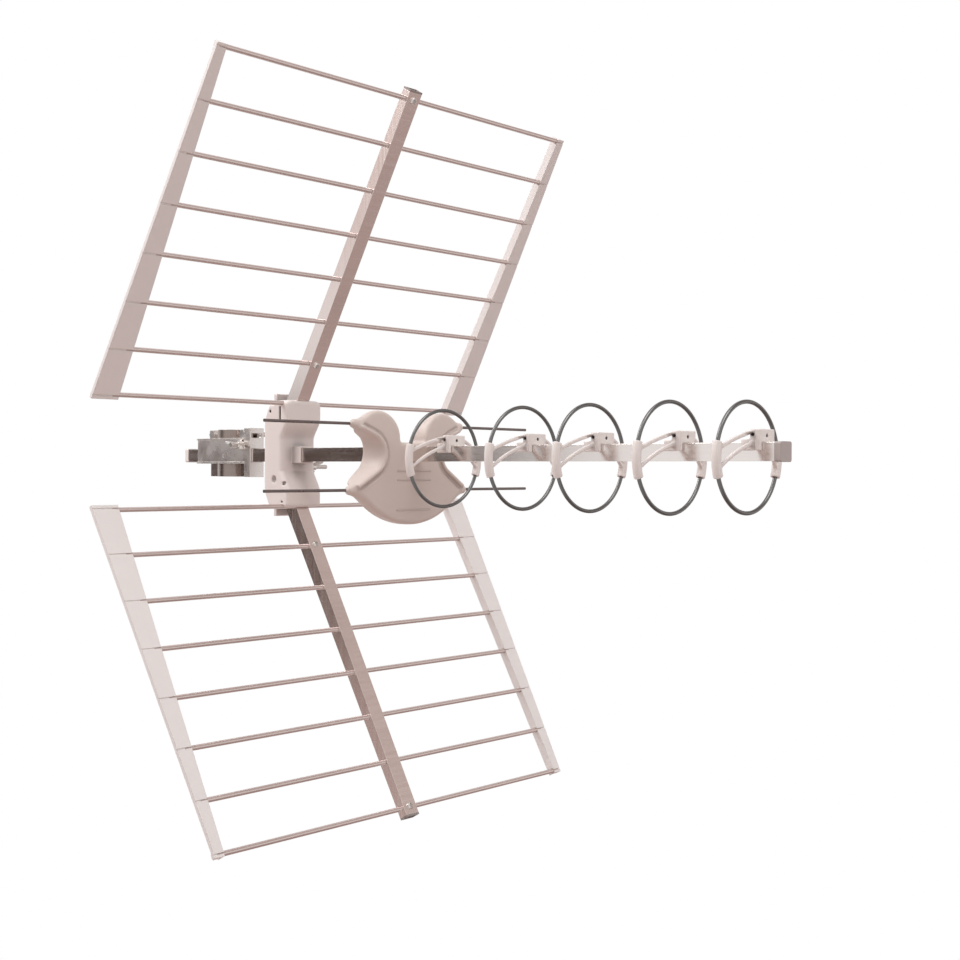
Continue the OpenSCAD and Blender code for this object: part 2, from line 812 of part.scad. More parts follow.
module holder_arms(i) {
    mid = ring_mid(i);
    root_x = saddle_l - holder_post_t - 2;
    root_y = boom_h + slide;
    run = norm([root_x, mid - root_y]);
    arm_w = 3.4;
    arm_t = 3.2;
    start = 2;
    upper_z = [2, 13, holder_top - 2];
    lower_z = [-14, 2, boom_h];
    translate([0, mid, 0]) rotate([0, 0, atan2(root_y - mid, root_x)]) rotate([90, 0, 0])
        linear_extrude(arm_t, center = true) {
            arm_profile([start, upper_z[0]], [run * 0.55, upper_z[1]], [run, upper_z[2]], arm_w);
            arm_profile([start, lower_z[0]], [run * 0.5, lower_z[1]], [run, lower_z[2]], arm_w);
        }
}

module director_holder(i) {
    inner = boom_w + 2 * slide;
    outer = inner + 2 * holder_wall;
    skirt = 1;
    step = 5;
    lip = 1;
    pin_d = 3;
    post_x = saddle_l - holder_post_t;
    color("seashell") difference() {
        union() {
            on_boom(reflector_x + director_at(i)) {
                translate([0, -outer / 2, skirt])
                    cube([saddle_l, outer, inner / 2 + holder_wall - skirt]);
                translate([post_x, -outer / 2 - lip, skirt])
                    cube([holder_post_t, outer + 2 * lip, holder_top - skirt]);
                translate([post_x - step, -outer / 2, inner / 2])
                    cube([step + lip, outer, holder_top - inner / 2]);
                for (s = [0, 1]) mirror([0, s, 0]) holder_arms(i);
            }
            ring_frame(i) for (a = [90 - sleeve_dip, 270 + sleeve_dip]) rotate([0, 0, a - sleeve_half])
                rotate_extrude(angle = 2 * sleeve_half) translate([ring_mid(i), 0]) circle(d = sleeve_d);
        }
        ring_frame(i) rotate_extrude() translate([ring_mid(i), 0]) circle(d = wire_d + 2 * hole_gap);
        on_boom(reflector_x + director_at(i)) {
            translate([-1, -inner / 2, -inner / 2]) cube([saddle_l + 2, inner, inner]);
            translate([post_x + 1, 0, (inner / 2 + holder_top) / 2]) rotate([0, 90, 0])
                cylinder(d = pin_d, h = saddle_l);
            translate([post_x - step / 2, 0, (inner / 2 + holder_top) / 2 + 1]) across(pin_d, 2 * outer);
        }
    }
}

// Half round jaw with two ears, opening towards +Y
module jaw_plan() {
    outer_r = mast_r + jaw_wall;
    difference() {
        union() {
            circle(outer_r);
            translate([-ear_edge, -jaw_gap - jaw_wall]) square([2 * ear_edge, jaw_wall]);
        }
        circle(mast_r);
        translate([-ear_edge - 1, -jaw_gap]) square([2 * ear_edge + 2, 2 * ear_edge]);
    }
}

module jaw_body() {
    difference() {
        translate([0, 0, -jaw_down]) linear_extrude(jaw_up + jaw_down) jaw_plan();
        clamp_holes();
    }
}

module clamp_holes() {
    for (x = [-ear_x, ear_x], z = [upper_bolt_z, lower_bolt_z]) translate([x, 0, z])
        across(bolt_d + 2 * hole_gap, 2 * (jaw_gap + jaw_wall + bracket_wall + 1));
}

module mast_saddle() {
    color("silver") jaw_body();
}

module mast_jaw() {
    color("silver") mirror([0, 1, 0]) jaw_body();
}

module box(low, high) {
    translate(low) cube(high - low);
}

// Folded sheet bracket: walls beside and under the boom, a shelf over it up to the ears
module boom_bracket() {
    t = bracket_wall;
    near = bracket_near - t;
    far = bracket_far + t;
    low = -bracket_low - t;
    back = -bracket_back;
    ahead = bracket_ahead;
    upstand = -jaw_gap - jaw_wall;
    far_wall_x = ear_edge + jaw_wall + slide;
    lip = 1.5;
    slot_h = 5;
    notch_r = mast_r + jaw_wall + slide;
    color("silver") difference() {
        union() {
            box([back, near, low], [ahead, bracket_near, bracket_top]);
            box([back, near, low], [ahead, bracket_far, -bracket_low]);
            box([back, near - lip, low], [ahead - bracket_leg_l, bracket_near, low + t]);
            box([back, near - lip, bracket_top - t], [ahead - bracket_leg_l, bracket_near, bracket_top]);
            box([back, near, bracket_top - t], [ear_edge, upstand, bracket_top]);
            box([-ear_edge, bracket_far, bracket_top - t], [ear_edge, upstand, bracket_top]);
            box([-ear_edge, upstand - t, bracket_top - t], [ear_edge, upstand, jaw_up]);
            box([far_wall_x, near, bracket_top - t], [ahead, far, bracket_top]);
            box([far_wall_x, bracket_far, low], [ahead, far, bracket_top]);
            box([ahead - bracket_leg_l, near, -jaw_down], [ahead, bracket_near, jaw_up]);
            box([ahead - t, near, -jaw_down], [ahead, far, jaw_up]);
            box([ear_edge - t, near, bracket_top - t], [far_wall_x + t, bracket_far, bracket_top]);
        }
        translate([0, 0, bracket_low]) cylinder(r = notch_r, h = jaw_up);
        clamp_holes();
        box([ahead - 2 * t, bracket_near, -bracket_low], [ahead + t, bracket_far, bracket_low]);
        box([ahead - 2 * t, bracket_near, bracket_top], [ahead + t, bracket_far, bracket_top + slot_h]);
        translate([boom_bolt_x, boom_y, boom_bolt_z]) across(bolt_d + 2 * hole_gap, 4 * boom_w);
        translate([bracket_hole_x, near, 0]) across(bracket_hole_d, 3 * t);
    }
}

module clamp_bolts() {
    near = -jaw_gap - jaw_wall;
    color("gainsboro") for (x = [-ear_x, ear_x]) {
        translate([x, near - bracket_wall, upper_bolt_z]) hex_bolt(bolt_d, bolt_l, bolt_hex, bolt_head_h);
        translate([x, near, lower_bolt_z]) hex_bolt(bolt_d, bolt_l, bolt_hex, bolt_head_h);
    }
}

module clamp_nuts() {
    color("gainsboro") for (x = [-ear_x, ear_x], z = [upper_bolt_z, lower_bolt_z])
        translate([x, jaw_gap + jaw_wall, z]) rotate([-90, 0, 0]) difference() {
            cylinder(d = bolt_hex / cos(30), h = nut_h, $fn = 6);
            translate([0, 0, -1]) cylinder(d = bolt_d + 2 * hole_gap, h = nut_h + 2);
        }
}

module boom_bolt() {
    length = bracket_far - bracket_near + 2 * bracket_wall + boom_bolt_out;
    color("gainsboro") translate([boom_bolt_x, bracket_far + bracket_wall, boom_bolt_z]) mirror([0, 1, 0])
        hex_bolt(bolt_d, length, bolt_hex, bolt_head_h);
}

module boom_wing_nut() {
    color("gainsboro") translate([boom_bolt_x, bracket_near - bracket_wall, boom_bolt_z])
        mirror([0, 1, 0]) rotate([0, 12, 0]) wing_nut(bolt_d, wing_span, wing_h);
}

boom();
boom_front_cap();
boom_rear_cap();
hub_rear();
hub_front_cover();
hub_bolt();
hub_wing_nut();
for (p = panels) rail(p);
for (p = panels) rail_cap(p);
rail_screws();
for (p = panels, i = [1:rod_count]) reflector_rod(p, i - 1);
for (p = panels, s = sides) side_strip(p, s);
dipole_front_shell();
dipole_rear_shell();
balun_board();
coax_socket();
casing_screws();
for (p = panels, s = sides) dipole_rod(p, s);
for (i = [1:director_count]) director_ring(i - 1);
for (i = [1:director_count]) director_holder(i - 1);
boom_bracket();
mast_saddle();
mast_jaw();
clamp_bolts();
clamp_nuts();
boom_bolt();
boom_wing_nut();
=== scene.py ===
# Looks of the UHF aerial: finishes, moulded pieces over the CAD solids, studio and camera.
# Lengths are in metres in the CAD frame. The casing and the hub are drawn in mm and then placed.
import math

import bpy
import bmesh
import numpy as np
from mathutils import Matrix, Vector


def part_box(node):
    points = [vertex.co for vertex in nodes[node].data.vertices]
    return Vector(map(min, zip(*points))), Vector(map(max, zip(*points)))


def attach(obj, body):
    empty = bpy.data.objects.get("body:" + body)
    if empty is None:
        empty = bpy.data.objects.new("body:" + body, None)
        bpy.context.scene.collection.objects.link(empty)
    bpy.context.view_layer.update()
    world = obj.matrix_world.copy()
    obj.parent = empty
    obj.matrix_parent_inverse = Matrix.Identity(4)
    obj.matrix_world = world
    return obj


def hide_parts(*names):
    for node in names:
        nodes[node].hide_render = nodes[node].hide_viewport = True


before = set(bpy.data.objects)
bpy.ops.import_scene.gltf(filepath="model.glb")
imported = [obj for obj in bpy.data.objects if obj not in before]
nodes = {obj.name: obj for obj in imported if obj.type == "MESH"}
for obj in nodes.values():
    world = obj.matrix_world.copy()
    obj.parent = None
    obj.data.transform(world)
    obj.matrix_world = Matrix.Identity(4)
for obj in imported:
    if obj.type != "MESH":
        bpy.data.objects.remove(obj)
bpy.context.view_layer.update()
scene = bpy.context.scene
MM = 0.001


# ---- Finishes

def linear(*rgb):
    """sRGB 0 to 255 to linear."""
    out = []
    for v in rgb:
        v = v / 255
        out.append(v / 12.92 if v <= 0.04045 else ((v + 0.055) / 1.055) ** 2.4)
    return (*out, 1.0)


def noise(nt, scale, detail, stretch):
    """Noise over the piece; stretch draws it out along an axis, as brushing does."""
    coord = nt.nodes.new("ShaderNodeTexCoord")
    mapping = nt.nodes.new("ShaderNodeMapping")
    mapping.inputs["Scale"].default_value = stretch
    tex = nt.nodes.new("ShaderNodeTexNoise")
    tex.inputs["Scale"].default_value = scale
    tex.inputs["Detail"].default_value = detail
    nt.links.new(coord.outputs["Object"], mapping.inputs["Vector"])
    nt.links.new(mapping.outputs["Vector"], tex.inputs["Vector"])
    return tex.outputs["Fac"]


def ramp(nt, fac, low, high, a=0.3, b=0.7):
    """fac from a to b becomes low to high."""
    r = nt.nodes.new("ShaderNodeMapRange")
    r.inputs["From Min"].default_value = a
    r.inputs["From Max"].default_value = b
    r.inputs["To Min"].default_value = low
    r.inputs["To Max"].default_value = high
    nt.links.new(fac, r.inputs["Value"])
    return r.outputs["Result"]


def material(name, colour, metallic=0.0, rough=(0.4, 0.5), grain=60.0, stretch=(1, 1, 1),
             bump=0.05, bump_scale=900.0, vary=0.04, edge=0.0, shade=0.0):
    """A procedural finish: uneven colour and roughness, a fine bump, and shade painted into the
    colour in hollows.
    edge is the radius of softened edges, shade the reach of the painted shade in hollows."""
    bump_depth = 0.4 * MM
    edge_samples, shade_samples = 6, 8
    m = bpy.data.materials.new(name)
    m.use_nodes = True
    nt = m.node_tree
    bsdf = nt.nodes["Principled BSDF"]
    bsdf.inputs["Metallic"].default_value = metallic
    fac = noise(nt, grain, 4.0, stretch)
    mix = nt.nodes.new("ShaderNodeMix")
    mix.data_type = "RGBA"
    mix.inputs["A"].default_value = [c * (1 - vary) for c in colour[:3]] + [1]
    mix.inputs["B"].default_value = [min(1, c * (1 + vary)) for c in colour[:3]] + [1]
    nt.links.new(fac, mix.inputs["Factor"])
    tone = mix.outputs["Result"]
    # Painted shade: ambient occlusion darkens the colour in hollows and recesses, down to a quarter
    if shade:
        hollow = nt.nodes.new("ShaderNodeAmbientOcclusion")
        hollow.samples = shade_samples
        hollow.only_local = True
        hollow.inputs["Distance"].default_value = shade
        dim = nt.nodes.new("ShaderNodeVectorMath")
        dim.operation = "SCALE"
        nt.links.new(tone, dim.inputs["Vector"])
        nt.links.new(ramp(nt, hollow.outputs["AO"], 0.25, 1.0, 0.2, 0.95), dim.inputs["Scale"])
        tone = dim.outputs["Vector"]
    nt.links.new(tone, bsdf.inputs["Base Color"])
    nt.links.new(ramp(nt, fac, *rough), bsdf.inputs["Roughness"])
    b = nt.nodes.new("ShaderNodeBump")
    b.inputs["Strength"].default_value = bump
    b.inputs["Distance"].default_value = bump_depth
    nt.links.new(noise(nt, bump_scale, 2.0, stretch), b.inputs["Height"])
    if edge:
        bev = nt.nodes.new("ShaderNodeBevel")
        bev.samples = edge_samples
        bev.inputs["Radius"].default_value = edge
        nt.links.new(bev.outputs["Normal"], b.inputs["Normal"])
    nt.links.new(b.outputs["Normal"], bsdf.inputs["Normal"])
    return m


def brushed(name, colour, rough, stretch, bump=0.05, edge=0.0):
    """Drawn aluminium, its grain along the axis that stretch leaves at 1."""
    return material(name, colour, metallic=1.0, rough=rough, stretch=stretch, grain=14.0,
                    bump=bump, bump_scale=160.0, vary=0.05, edge=edge)


strip_mat = material("strip_white", linear(236, 228, 225), rough=(0.42, 0.52), bump=0.06,
                     vary=0.015, edge=0.8 * MM)
# The hub, holder and casing colours carry painted shade in their hollows (shade), the hub's reaching
# across its recess
hub_mat = material("hub_white", linear(232, 220, 216), bump=0.08, vary=0.015, shade=35 * MM)
holder_mat = material("holder_white", linear(236, 226, 222), rough=(0.38, 0.48), bump=0.08,
                      vary=0.015, shade=8 * MM)
casing_mat = material("casing_beige", linear(214, 198, 190), bump=0.1, vary=0.02, shade=10 * MM)
cap_mat = material("cap_beige", linear(178, 166, 162), bump=0.06, vary=0.02, edge=0.8 * MM)
rail_cap_mat = material("rail_cap_dark", linear(150, 138, 134), bump=0.06, vary=0.02,
                        edge=0.6 * MM)
rail_mat = brushed("rail_aluminium", linear(226, 214, 210), (0.18, 0.26), (40, 1, 1),
                   edge=0.4 * MM)
boom_mat = brushed("boom_aluminium", linear(226, 218, 214), (0.1, 0.16), (1, 40, 40),
                   edge=0.5 * MM)
rod_mat = brushed("reflector_aluminium", linear(206, 190, 186), (0.24, 0.34), (30, 1, 30),
                  bump=0.04)
ring_mat = material("ring_aluminium", linear(108, 106, 105), metallic=1.0, rough=(0.25, 0.35),
                    grain=120.0, bump=0.04, vary=0.06)
dipole_mat = material("dipole_aluminium", linear(120, 110, 108), metallic=1.0,
                      rough=(0.25, 0.35), grain=120.0, bump=0.04, vary=0.06)
steel_mat = material("clamp_steel", linear(212, 204, 200), metallic=1.0, rough=(0.2, 0.34),
                     grain=45.0, bump=0.3, bump_scale=70.0, vary=0.07, edge=0.8 * MM)
# The saddle and jaw take a darker copy of the clamp steel: painted shade
shaded_jaw_mat = material("jaw_steel_shaded", linear(146, 132, 126), metallic=1.0, rough=(0.2, 0.34),
                   grain=45.0, bump=0.06, vary=0.08, edge=0.8 * MM)
fastener_mat = material("fastener_steel", linear(206, 200, 196), metallic=1.0,
                        rough=(0.18, 0.3), grain=90.0, bump=0.06, vary=0.07, edge=0.4 * MM)
board_mat = material("board_green", linear(60, 110, 70), rough=(0.35, 0.45), bump=0.04,
                     vary=0.05)
socket_mat = material("socket_nickel", linear(196, 184, 164), metallic=1.0, rough=(0.22, 0.32),
                      bump=0.04, vary=0.05)

named_finishes = {
    "boom": boom_mat,
    "boom_front_cap": cap_mat,
    # The rear cap takes the white holder finish, lighter than the front cap's: painted light for its
    # lit rim
    "boom_rear_cap": holder_mat,
    "hub_rear": hub_mat,
    "hub_front_cover": hub_mat,
    "dipole_front_shell": casing_mat,
    "dipole_rear_shell": casing_mat,
    "balun_board": board_mat,
    "coax_socket": socket_mat,
    "boom_bracket": steel_mat,
    "mast_saddle": shaded_jaw_mat,
    "mast_jaw": shaded_jaw_mat,
}
# The first part of a name that fits gives the finish
finishes_by_part = (
    ("_rail_cap", rail_cap_mat),
    ("_rail", rail_mat),
    ("dipole_rod", dipole_mat),
    ("_rod_", rod_mat),
    ("_strip", strip_mat),
    ("director_ring", ring_mat),
    ("director_holder", holder_mat),
)


def finish_of(node):
    if node in named_finishes:
        return named_finishes[node]
    for part, finish in finishes_by_part:
        if part in node:
            return finish
    return fastener_mat


for name, obj in nodes.items():
    obj.data.materials.clear()
    obj.data.materials.append(finish_of(name))


# ---- Moulded pieces that stand for CAD nodes

def dress(obj, sources):
    """The piece stands for these nodes, with their finish."""
    scene.collection.objects.link(obj)
    obj.data.materials.append(finish_of(sources[0]))
    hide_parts(*sources)
    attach(obj, "root")
    return obj


def rounding(obj, name, rounds):
    relax = obj.modifiers.new(name, "SMOOTH")
    relax.factor = 0.5
    relax.iterations = rounds
    return relax


def moulded(name, source, voxel, rounds):
    """A CAD solid as a moulding: remeshed, and its edges rounded."""
    bm = bmesh.new()
    bm.from_mesh(nodes[source].data)
    mesh = bpy.data.meshes.new(name)
    bm.to_mesh(mesh)
    bm.free()
    obj = bpy.data.objects.new(name, mesh)
    cast = obj.modifiers.new("cast", "REMESH")
    cast.mode = "VOXEL"
    cast.voxel_size = voxel
    cast.use_smooth_shade = True
    rounding(obj, "rounding", rounds)
    return dress(obj, [source])


# The casing and the hub are drawn as distance fields on a grid: negative inside, in mm

def grid(low, high, step):
    return np.meshgrid(*[np.arange(a, b, step) for a, b in zip(low, high)], indexing="ij")


def common(*fields):
    """What lies in every one of the fields."""
    out = fields[0]
    for field in fields[1:]:
        out = np.maximum(out, field)
    return out


def cut(body, *tools):
    for tool in tools:
        body = np.maximum(body, -tool)
    return body


def round_max(a, b, r):
    """Intersection of two distance fields with its edge rounded over r."""
    return np.maximum(a, b) + np.maximum(r - np.abs(a - b), 0) ** 2 / (4 * r)


def round_min(a, b, r):
    """Union of two distance fields with its inner corner filled over r."""
    return -round_max(-a, -b, r)


def cone_field(p, a, b, ra, rb):
    """Distance to a round bar from a to b whose radius runs from ra to rb."""
    a, b = np.array(a), np.array(b)
    along = b - a
    t = np.clip(sum((p[k] - a[k]) * along[k] for k in range(3)) / np.dot(along, along), 0, 1)
    gap = [p[k] - a[k] - t * along[k] for k in range(3)]
    return np.sqrt(sum(g * g for g in gap)) - (ra + (rb - ra) * t)


def surface(name, field, low, step, place):
    """The zero surface of a distance field on a grid, as a mesh of quads with one point a cell."""
    inside = field < 0
    n = np.array(field.shape)
    total = np.zeros((*(n - 1), 3))
    count = np.zeros(tuple(n - 1))
    cells = [slice(0, -1), slice(1, None)]
    # A cell's point is the mean of where the surface crosses the cell's edges
    edges = []
    for axis in range(3):
        a = [slice(None)] * 3
        b = [slice(None)] * 3
        a[axis], b[axis] = cells
        fa, fb = field[tuple(a)], field[tuple(b)]
        crossed = inside[tuple(a)] != inside[tuple(b)]
        t = np.where(crossed, fa / np.where(crossed, fa - fb, 1), 0)
        edges.append((crossed, inside[tuple(a)]))
        others = [k for k in range(3) if k != axis]
        for da in (0, 1):
            for db in (0, 1):
                pick = [slice(None)] * 3
                pick[others[0]] = cells[da]
                pick[others[1]] = cells[db]
                c = crossed[tuple(pick)]
                count += c
                total[..., axis] += np.where(c, t[tuple(pick)], 0)
                total[..., others[0]] += c * da
                total[..., others[1]] += c * db
    used = count > 0
    index = np.full(used.shape, -1)
    index[used] = np.arange(used.sum())
    at = np.argwhere(used) + total[used] / count[used][:, None]
    points = (at * step + np.array(low)) * MM + np.array(place)
    # Each crossed edge gives a quad of its four cells' points, which faces outwards
    quads = []
    for axis in range(3):
        crossed, first_in = edges[axis]
        u, v = (axis + 1) % 3, (axis + 2) % 3
        where = np.argwhere(crossed)
        where = where[(where[:, u] > 0) & (where[:, v] > 0)
                      & (where[:, u] < n[u] - 1) & (where[:, v] < n[v] - 1)]
        corners = []
        for du, dv in ((-1, -1), (0, -1), (0, 0), (-1, 0)):
            c = where.copy()
            c[:, u] += du
            c[:, v] += dv
            corners.append(index[tuple(c.T)])
        q = np.stack(corners, 1)
        q = np.where(first_in[tuple(where.T)][:, None], q, q[:, ::-1])
        quads.append(q)
    mesh = bpy.data.meshes.new(name)
    mesh.from_pydata(points.tolist(), [], np.concatenate(quads).tolist())
    mesh.shade_smooth()
    obj = bpy.data.objects.new(name, mesh)
    rounding(obj, "relax", 3)
    return obj


def add_ribs(obj, place, heights, half, front_at):
    """Thin ribs across the casing's front, joined to its mesh and left out of its relaxing."""
    section = ((-0.8, -0.7), (0.5, -0.35), (0.5, 0.35), (-0.8, 0.7))
    stations = 24
    obj.vertex_groups.new(name="body").add(range(len(obj.data.vertices)), 1, "REPLACE")
    obj.modifiers["relax"].vertex_group = "body"
    bm = bmesh.new()
    bm.from_mesh(obj.data)
    for rib_z in heights:
        rows = []
        for rib_y in np.linspace(-half, half, stations):
            rib_x = front_at(rib_y, rib_z)
            rows.append([bm.verts.new(Vector((rib_x + dx, rib_y, rib_z + dz)) * MM + Vector(place))
                         for dx, dz in section])
        for a, b in zip(rows, rows[1:]):
            for k in range(4):
                bm.faces.new((a[k], a[k - 1], b[k - 1], b[k]))
        bm.faces.new(rows[0])
        bm.faces.new(rows[-1][::-1])
    bm.to_mesh(obj.data)
    bm.free()


def casing(step=0.9):
    """The casing round the dipole: a domed box of two lobes over a belly, hollowed at the sides
    and drawn to four points. X is 0 at the dipole rods, Y and Z at the boom's axis."""
    low, high = (-22, -85, -74), (16, 85, 47)
    x, y, z = grid(low, high, step)
    side = np.abs(y)
    p = (x, side, z)

    # Outline from the front, then the domed front and back
    lobe_y, lobe_z, lobe_r = 44, 16, 26.8
    belly_mid, belly_r, belly_top = 19, 90, 11.7
    rod_up, rod_down, point_r = 29, -36, 4.2
    dome_z = -14
    back_x, back_plan_r, back_side_r = 20, 260, 150

    def front_at(y, z):
        front_x, plan_r, side_r = 11, 900, 700
        return front_x - y ** 2 / (2 * plan_r) - (z - dome_z) ** 2 / (2 * side_r)

    outline = common(np.hypot(side, z - belly_mid) - belly_r, z - belly_top)
    outline = round_min(outline, np.hypot(side - lobe_y, z - lobe_z) - lobe_r, 5)
    outline = round_min(outline, cone_field(p, (0, 54, 27), (1, 72, rod_up), 9, point_r), 6)
    outline = round_min(outline, cone_field(p, (0, 50, -38), (1, 77, rod_down), 12, point_r), 6)
    front = x - front_at(y, z)
    back = -x - (back_x - y * y / (2 * back_plan_r) - (z - dome_z) ** 2 / (2 * back_side_r))
    body = round_max(outline, front, 4.5)
    body = round_max(body, back, 7)

    # Hollow of each side: a cylinder that opens outwards between two slopes, deeper at the front
    flank_y, flank_r, lean = 62, 18, math.tan(math.radians(15))
    up, down = math.radians(23.5), math.radians(33)
    out = side - (flank_y - lean * x)
    above = -out * math.sin(up) + z * math.cos(up) - flank_r
    below = -out * math.sin(down) - z * math.cos(down) - flank_r
    round_part = ((out * math.cos(up) + z * math.sin(up) < 0)
                  & (out * math.cos(down) - z * math.sin(down) < 0))
    flank = np.where(round_part, np.hypot(out, z) - flank_r, common(above, below))
    tip_r = 3.8
    tips = np.minimum(cone_field(p, (1, 66, 28), (1, 73, rod_up), point_r, tip_r),
                      cone_field(p, (1, 68, -36), (1, 78, rod_down), point_r, tip_r))
    body = round_max(body, -flank, 3)
    body = round_min(body, tips, 3)

    # Rolled edge along the hollow, with a groove inside it
    bead_in, bead_r, groove_in, groove_out, groove_r = 2.6, 2.3, 6.6, 0.8, 2
    bead = common(np.hypot(flank - bead_in, front) - bead_r, outline + 1)
    body = round_min(body, bead, 0.6)
    groove = common(np.hypot(flank - groove_in, front - groove_out) - groove_r, outline + 3)
    body = round_max(body, -groove, 0.6)

    # Seat of the socket, screw holes from behind, and the boom's way
    socket_z, seat_r, seat_x, seat_half = -42, 8, -13, 6
    seat = common(np.hypot(y, z - socket_z) - seat_r, np.abs(x - seat_x) - seat_half)
    body = round_min(body, seat, 1)
    hole_r, hole_floor, way = 3, -11.2, 7.6
    for sy, sz in ((0, -14), (34, -46), (-34, -46), (30, 14), (-30, 14)):
        body = cut(body, common(np.hypot(y - sy, z - sz) - hole_r, x - hole_floor))
    body = cut(body, common(side, np.abs(z)) - way)

    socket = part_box("coax_socket")
    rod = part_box("upper_left_dipole_rod")
    place = ((rod[0].x + rod[1].x) / 2, (socket[0].y + socket[1].y) / 2, 0)
    obj = surface("dipole_casing", body, low, step, place)
    add_ribs(obj, place, (-17, -26, -56), 23, front_at)
    return dress(obj, ["dipole_front_shell", "dipole_rear_shell"])


def hub(step=0.7):
    """The hub: two blocks with a scooped recess between them, a collar round the boom and a lug
    at each end. X is 0 at the first reflector rods, Y and Z at the boom's axis."""
    low, high = (-40, -27, -71), (16, 27, 71)
    x, y, z = grid(low, high, step)
    side, tall = np.abs(y), np.abs(z)
    half, back, ahead, top, foot = 24, 36, 10, 60, 57.5

    # The recess eases in below the upper block and slopes straight to the lower one
    recess_depth, recess_top, ease, recess_foot, slope = 11.5, 40, 24, -38, 20
    scoop = np.clip((recess_top - z) / ease, 0, 1)
    scoop = scoop * scoop * (3 - 2 * scoop) * np.clip((z - recess_foot) / slope, 0, 1)
    front = x - (ahead - recess_depth * scoop)
    body = round_max(round_max(side - half, -back - x, 9), front, 6)
    body = round_max(body, z - top, 6)
    body = round_max(body, -foot - z, 4)

    # Bevels of the back, each with its height on the back face, its rise and its run
    for sign, bevel_z, rise, run in ((1, 33, 20, 11), (-1, -35.5, 19, 11)):
        slant = (sign * (z - bevel_z) * run - (x + back) * rise) / math.hypot(run, rise)
        body = round_max(body, slant, 3)
    step_x, step_z = -15, 55
    body = round_max(body, -common(x - step_x, step_z - z), 1.5)

    collar_half, collar_x, collar_l = 9.2, 5, 8.5
    collar = common(side - collar_half, tall - collar_half, np.abs(x - collar_x) - collar_l)
    body = round_min(body, collar, 0.8)
    lug_half, lug_top, lug_x, lug_t = 14, 68, -25, 2.5
    lugs = common(side - lug_half, tall - lug_top, np.abs(x - lug_x) - lug_t)
    body = round_min(body, lugs, 1)

    # Pockets of the rails, and the boom's way
    panel_angle, panel_gap, way = 59.5, 56.5, 7.7
    lean = math.radians(90 - panel_angle)
    across = x * math.cos(lean) - (tall - panel_gap) * math.sin(lean)
    along = x * math.sin(lean) + (tall - panel_gap) * math.cos(lean)
    rail_half, rail_face, rail_back, rail_foot = 8.6, 4.5, -17.5, -6.4
    pocket = common(side - rail_half, across - rail_face, rail_back - across, rail_foot - along)
    body = cut(body, pocket, common(side, tall) - way)

    # Dimple, small holes (x, z, radius) and slot of the near side
    inward = half + y
    dimple_x, dimple_in, dimple_z, dimple_r = -14.5, -0.5, -27, 4.2
    marks = np.sqrt((x - dimple_x) ** 2 + (inward - dimple_in) ** 2 + (z - dimple_z) ** 2) - dimple_r
    for mx, mz, r in ((-0.5, -51.5, 1.4), (-21.5, 48, 1.7), (2.5, -31.5, 2.3)):
        marks = np.minimum(marks, common(np.hypot(x - mx, z - mz) - r, inward - 3))
    slot_x, slot_half, slot_z, slot_reach = -4.2, 1.4, 44.5, 8.5
    slot = common(np.abs(x - slot_x) - slot_half, np.abs(z - slot_z) - slot_reach, inward - 4)
    body = cut(body, marks, slot)

    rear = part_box("hub_rear")
    place = (rear[0].x + back * MM, (rear[0].y + rear[1].y) / 2, 0)
    obj = surface("hub_body", body, low, step, place)
    return dress(obj, ["hub_rear", "hub_front_cover"])


casing()
hub()
for i in range(1, 6):
    moulded(f"holder_{i}", f"director_holder_{i}", 0.55 * MM, 6)


# ---- Studio: a plain pale floor far below, a white surround, soft lamps

def seen_directly(nt):
    """1 for camera, mirrored and transmitted rays, 0 for the rays that carry light."""
    path = nt.nodes.new("ShaderNodeLightPath")
    found = path.outputs["Is Camera Ray"]
    for ray in ("Is Glossy Ray", "Is Transmission Ray"):
        either = nt.nodes.new("ShaderNodeMath")
        either.operation = "MAXIMUM"
        nt.links.new(found, either.inputs[0])
        nt.links.new(path.outputs[ray], either.inputs[1])
        found = either.outputs[0]
    return found


floor_half, floor_z = 60, -1.5
floor_mesh = bpy.data.meshes.new("floor")
floor_mesh.from_pydata([(sx * floor_half, sy * floor_half, floor_z)
                        for sx, sy in ((-1, -1), (1, -1), (1, 1), (-1, 1))], [], [(0, 1, 2, 3)])
floor = bpy.data.objects.new("floor", floor_mesh)
scene.collection.objects.link(floor)
floor_mat = bpy.data.materials.new("floor_pale")
floor_mat.use_nodes = True
nt = floor_mat.node_tree
base = nt.nodes["Principled BSDF"]
base.inputs["Base Color"].default_value = (0.6, 0.48, 0.45, 1)
base.inputs["Roughness"].default_value = 0.9
glow = nt.nodes.new("ShaderNodeEmission")
glow.inputs["Strength"].default_value = 1.0
blend = nt.nodes.new("ShaderNodeMixShader")
nt.links.new(seen_directly(nt), blend.inputs[0])
nt.links.new(base.outputs[0], blend.inputs[1])
nt.links.new(glow.outputs[0], blend.inputs[2])
nt.links.new(blend.outputs[0], nt.nodes["Material Output"].inputs[0])
floor_mesh.materials.append(floor_mat)

world = bpy.data.worlds.new("surround")
scene.world = world
world.use_nodes = True
nt = world.node_tree
back = nt.nodes["Background"]
level = nt.nodes.new("ShaderNodeMapRange")
level.inputs["To Min"].default_value = 0.62
level.inputs["To Max"].default_value = 1.0
nt.links.new(seen_directly(nt), level.inputs["Value"])
back.inputs["Color"].default_value = (1, 1, 1, 1)
nt.links.new(level.outputs["Result"], back.inputs["Strength"])


def put(obj, place, aim, axis):
    """Links obj at place, its axis towards aim."""
    obj.location = place
    obj.rotation_mode = "QUATERNION"
    obj.rotation_quaternion = (Vector(aim) - Vector(place)).to_track_quat(axis, "Y")
    scene.collection.objects.link(obj)


def lamp(name, place, aim, side, power):
    data = bpy.data.lights.new(name, "AREA")
    data.shape = "RECTANGLE"
    data.size = data.size_y = side
    data.energy = power
    put(bpy.data.objects.new(name, data), place, aim, "-Z")


